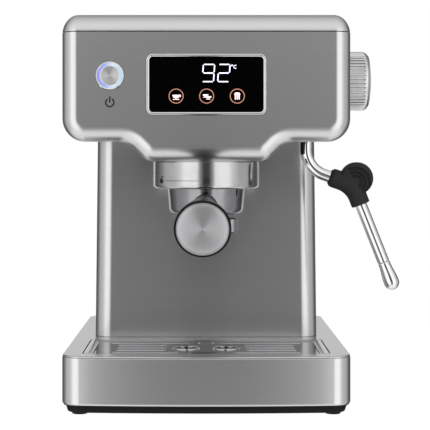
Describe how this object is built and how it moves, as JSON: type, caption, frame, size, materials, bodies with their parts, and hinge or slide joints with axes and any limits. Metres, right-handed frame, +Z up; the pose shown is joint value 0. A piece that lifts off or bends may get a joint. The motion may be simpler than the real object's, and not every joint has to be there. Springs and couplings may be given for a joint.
{
  "type": "espresso machine",
  "caption": "Pump espresso machine with a locking portafilter, swivelling steam wand, steam knob, lit display, drip tray and rear water tank.",
  "frame": {"origin": "middle of the base's footprint, on the surface it stands on", "axes": "+X to the machine's right seen from the front, +Y to its back, +Z up"},
  "size_m": [0.2763, 0.37, 0.3179],
  "materials": {
    "foot_rubber": "matte",
    "black_abs": "matte",
    "brushed_steel_band": "brushed",
    "deck_steel": "satin",
    "zinc_screw": "satin",
    "galvanised_frame": "satin",
    "brushed_steel_column": "brushed",
    "brushed_steel_head": "brushed",
    "brushed_steel_top": "brushed",
    "chrome_trim": "polished",
    "display_glass": "gloss",
    "circuit_board": "satin",
    "light_guide": "satin",
    "spring_steel": "satin",
    "polished_collar": "polished",
    "brass": "satin",
    "silicone": "matte",
    "cast_aluminium": "cast",
    "ceramic_white": "matte",
    "nylon_white": "matte",
    "silicone_clear": "satin",
    "spun_button": "satin",
    "knob_chrome": "satin",
    "knob_face": "satin",
    "polished_tube": "polished",
    "grip_rubber": "matte",
    "chrome_cup": "polished",
    "black_handle": "satin",
    "handle_disc": "polished",
    "tray_steel": "satin",
    "grille_steel": "brushed",
    "tank_plastic": "translucent"
  },
  "bodies": {
    "machine": {"rubber_feet": "foot_rubber", "base_pan": "black_abs", "base_shell": "brushed_steel_band", "deck_plate": "deck_steel", "tray_well": "black_abs", "body_screws": "zinc_screw", "power_gland": "black_abs", "tank_dock": "black_abs", "chassis": "galvanised_frame", "column_skin": "brushed_steel_column", "tank_bay": "black_abs", "head_front_cover": "brushed_steel_head", "head_housing": "brushed_steel_head", "lobe_skirt": "black_abs", "top_cover": "brushed_steel_top", "cup_warmer": "deck_steel", "display_bezel": "chrome_trim", "display_glass": "display_glass", "display_board": "circuit_board", "button_bezel": "chrome_trim", "button_light_ring": "light_guide", "button_spring": "spring_steel", "button_switch": "black_abs", "group_collar": "polished_collar", "group_head": "brass", "group_gasket": "silicone", "shower_screen": "deck_steel", "screen_screw": "zinc_screw", "thermoblock": "cast_aluminium", "temperature_sensors": "ceramic_white", "pump": "black_abs", "pump_mounts": "foot_rubber", "flow_meter": "nylon_white", "brew_valve": "black_abs", "steam_valve": "brass", "water_hoses": "silicone_clear", "control_board": "circuit_board", "wand_socket": "black_abs"},
    "power_button": {"power_button": "spun_button"},
    "steam_knob": {"steam_knob": "knob_chrome", "knob_cap": "knob_face", "valve_spindle": "brass"},
    "steam_wand": {"wand_tube": "polished_tube", "wand_grip": "grip_rubber", "wand_lower_tube": "polished_tube", "wand_nozzle": "polished_tube"},
    "portafilter": {"portafilter_cup": "chrome_cup", "filter_basket": "deck_steel", "basket_clip": "spring_steel", "twin_spout": "chrome_cup", "handle_grip": "black_handle", "handle_cap": "handle_disc", "handle_bolt": "zinc_screw"},
    "drip_tray": {"drip_tray": "tray_steel"},
    "drip_grille": {"drip_grille": "grille_steel"},
    "water_tank": {"water_tank": "tank_plastic", "tank_valve": "nylon_white", "lid_pins": "spring_steel"},
    "tank_lid": {"tank_lid": "black_abs"}
  },
  "joints": [
    {"name": "power_button_press", "type": "slide", "parent": "machine", "child": "power_button", "axis": [0, 1, 0], "range_m": [0, 0.0015], "stiffness_N_per_m": 900, "springref_m": -0.002, "deforming": ["button_spring"]},
    {"name": "steam_knob_turn", "type": "hinge", "parent": "machine", "child": "steam_knob", "pos_m": [0.115, -0.045, 0.2698], "axis": [1, 0, 0], "range_deg": [0, 270]},
    {"name": "steam_wand_swivel", "type": "hinge", "parent": "machine", "child": "steam_wand", "pos_m": [0.0837, -0.075, 0.215], "axis": [0, 0, 1], "range_deg": [-95, 25]},
    {"name": "portafilter_turn", "type": "hinge", "parent": "machine", "child": "portafilter", "pos_m": [0, -0.08, 0.185], "axis": [0, 0, 1], "range_deg": [-56, 0]},
    {"name": "drip_tray_lift", "type": "slide", "parent": "machine", "child": "drip_tray", "axis": [0, 0, 1], "range_m": [0, 0.04]},
    {"name": "drip_grille_lift", "type": "slide", "parent": "drip_tray", "child": "drip_grille", "axis": [0, 0, 1], "range_m": [0, 0.02]},
    {"name": "water_tank_lift", "type": "slide", "parent": "machine", "child": "water_tank", "axis": [0, 0, 1], "range_m": [0, 0.27]},
    {"name": "tank_lid_hinge", "type": "hinge", "parent": "water_tank", "child": "tank_lid", "pos_m": [0, 0.065, 0.3145], "axis": [1, 0, 0], "range_deg": [0, 85]}
  ]
}
